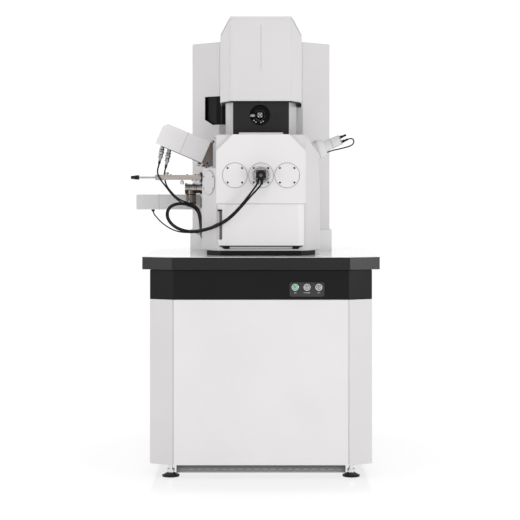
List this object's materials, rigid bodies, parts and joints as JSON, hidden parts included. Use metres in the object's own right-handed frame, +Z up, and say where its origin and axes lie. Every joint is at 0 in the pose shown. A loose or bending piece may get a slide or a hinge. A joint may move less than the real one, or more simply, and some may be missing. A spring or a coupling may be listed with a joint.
{
  "type": "scanning electron microscope",
  "caption": "Floor-standing scanning electron microscope: column, vacuum chamber with sliding door and stage, detectors and rear housing on a cabinet.",
  "frame": {"origin": "on the floor under the middle of the whole instrument with its probe, 33.75 mm to the left of the cabinet's middle plane", "axes": "+X to the operator's right, +Y to the back, +Z up"},
  "size_m": [0.9244, 0.98, 1.686],
  "materials": {
    "white_paint": "semi-matte powder coat",
    "charcoal_laminate": "charcoal edge with a pale glossy top",
    "charcoal_paint": "satin",
    "black_metal": "black anodised",
    "frame_steel": "primer grey",
    "foot_steel": "zinc plated stem on a black pad",
    "grey_plastic": "satin grey panel",
    "button_metal": "bright domes",
    "black_plastic": "moulded",
    "chamber_metal": "machined",
    "stage_metal": "machined",
    "steel": "brushed",
    "polished": "polished",
    "light_grey_paint": "light grey paint",
    "cable_black": "black jacket"
  },
  "bodies": {
    "root": {"arm_cable": "cable_black", "base_pan": "black_metal", "cabinet_frame": "frame_steel", "camera_cable_a": "cable_black", "camera_cable_b": "cable_black", "chamber_base_plate": "black_metal", "chamber_cover": "white_paint", "cheek_blank": "light_grey_paint", "column_cover": "white_paint", "control_plate": "grey_plastic", "drawer_rails": "steel", "eds_bracket": "black_metal", "eds_cable_a": "cable_black", "eds_cable_b": "cable_black", "electron_column": "steel", "fascia_band": "charcoal_paint", "front_panel": "white_paint", "gauge_head": "polished", "gauge_nipple": "polished", "mains_inlet": "black_plastic", "mid_enclosure": "black_metal", "objective_lens": "steel", "probe_guide": "steel", "rear_housing": "white_paint", "rear_housing_base": "light_grey_paint", "rear_panel": "white_paint", "se_cable": "cable_black", "se_connectors": "black_plastic", "se_detector": "light_grey_paint", "side_arm": "light_grey_paint", "side_panels": "white_paint", "turbo_pump": "steel", "vacuum_chamber": "chamber_metal", "worktop": "charcoal_laminate"},
    "door": {"door_flange": "chamber_metal", "front_plate": "white_paint", "port_blanks": "white_paint", "camera_flange": "white_paint", "chamber_camera": "black_metal", "lower_door_cover": "white_paint", "stage_base": "stage_metal"},
    "stage_y": {"stage_y_carriage": "stage_metal"},
    "stage_x": {"stage_x_carriage": "stage_metal"},
    "stage_z": {"stage_z_lift": "stage_metal"},
    "stage_tilt": {"stage_tilt_cradle": "stage_metal"},
    "turntable": {"rotation_table": "steel"},
    "detector": {"eds_housing": "light_grey_paint", "eds_tube": "steel", "eds_connectors": "polished"},
    "probe": {"probe_rod": "steel"},
    "clamp_screw": {"probe_clamp_screw": "polished"},
    "hub": {"aperture_hub": "polished"},
    "side_knob": {"aperture_knob": "steel"},
    "on_key": {"on_button": "button_metal"},
    "standby_key": {"standby_button": "button_metal"},
    "off_key": {"off_button": "button_metal"},
    "foot_front_left": {"levelling_foot_front_left": "foot_steel"},
    "foot_front_right": {"levelling_foot_front_right": "foot_steel"},
    "foot_rear_left": {"levelling_foot_rear_left": "foot_steel"},
    "foot_rear_right": {"levelling_foot_rear_right": "foot_steel"}
  },
  "joints": [
    {"name": "door_slide", "type": "slide", "parent": "root", "child": "door", "axis": [0, -1, 0], "range_m": [0, 0.3], "deforming": ["camera_cable_a", "camera_cable_b"]},
    {"name": "stage_y_slide", "type": "slide", "parent": "door", "child": "stage_y", "axis": [0, 1, 0], "range_m": [-0.04, 0.04]},
    {"name": "stage_x_slide", "type": "slide", "parent": "stage_y", "child": "stage_x", "axis": [1, 0, 0], "range_m": [-0.045, 0.045]},
    {"name": "stage_z_slide", "type": "slide", "parent": "stage_x", "child": "stage_z", "axis": [0, 0, 1], "range_m": [-0.02, 0.02]},
    {"name": "stage_tilt_hinge", "type": "hinge", "parent": "stage_z", "child": "stage_tilt", "pos_m": [0.03375, -0.15, 1.002], "axis": [1, 0, 0], "range_deg": [-10, 45]},
    {"name": "turntable_spin", "type": "hinge", "parent": "stage_tilt", "child": "turntable", "pos_m": [0.03375, -0.15, 1.02], "axis": [0, 0, 1], "continuous": true},
    {"name": "detector_slide", "type": "slide", "parent": "root", "child": "detector", "axis": [-0.9191, 0, 0.3939], "range_m": [0, 0.06], "deforming": ["eds_cable_a", "eds_cable_b"]},
    {"name": "probe_slide", "type": "slide", "parent": "root", "child": "probe", "axis": [1, 0, 0], "range_m": [0, 0.055]},
    {"name": "clamp_screw_turn", "type": "hinge", "parent": "root", "child": "clamp_screw", "pos_m": [-0.32525, -0.15, 1.1], "axis": [0, 0, 1], "continuous": true},
    {"name": "hub_turn", "type": "hinge", "parent": "root", "child": "hub", "pos_m": [0.02975, -0.28, 1.319], "axis": [0, 1, 0], "range_deg": [-150, 150]},
    {"name": "side_knob_turn", "type": "hinge", "parent": "root", "child": "side_knob", "pos_m": [0.00175, -0.26, 1.319], "axis": [1, 0, 0], "continuous": true},
    {"name": "on_press", "type": "slide", "parent": "root", "child": "on_key", "axis": [0, 1, 0], "range_m": [0, 0.0025], "stiffness_N_per_m": 600},
    {"name": "standby_press", "type": "slide", "parent": "root", "child": "standby_key", "axis": [0, 1, 0], "range_m": [0, 0.0025], "stiffness_N_per_m": 600},
    {"name": "off_press", "type": "slide", "parent": "root", "child": "off_key", "axis": [0, 1, 0], "range_m": [0, 0.0025], "stiffness_N_per_m": 600},
    {"name": "foot_front_left_turn", "type": "hinge", "parent": "root", "child": "foot_front_left", "pos_m": [-0.29425, -0.402, 0.05], "axis": [0, 0, 1], "range_deg": [-180, 180]},
    {"name": "foot_front_right_turn", "type": "hinge", "parent": "root", "child": "foot_front_right", "pos_m": [0.36175, -0.402, 0.05], "axis": [0, 0, 1], "range_deg": [-180, 180]},
    {"name": "foot_rear_left_turn", "type": "hinge", "parent": "root", "child": "foot_rear_left", "pos_m": [-0.29425, 0.402, 0.05], "axis": [0, 0, 1], "range_deg": [-180, 180]},
    {"name": "foot_rear_right_turn", "type": "hinge", "parent": "root", "child": "foot_rear_right", "pos_m": [0.36175, 0.402, 0.05], "axis": [0, 0, 1], "range_deg": [-180, 180]}
  ]
}
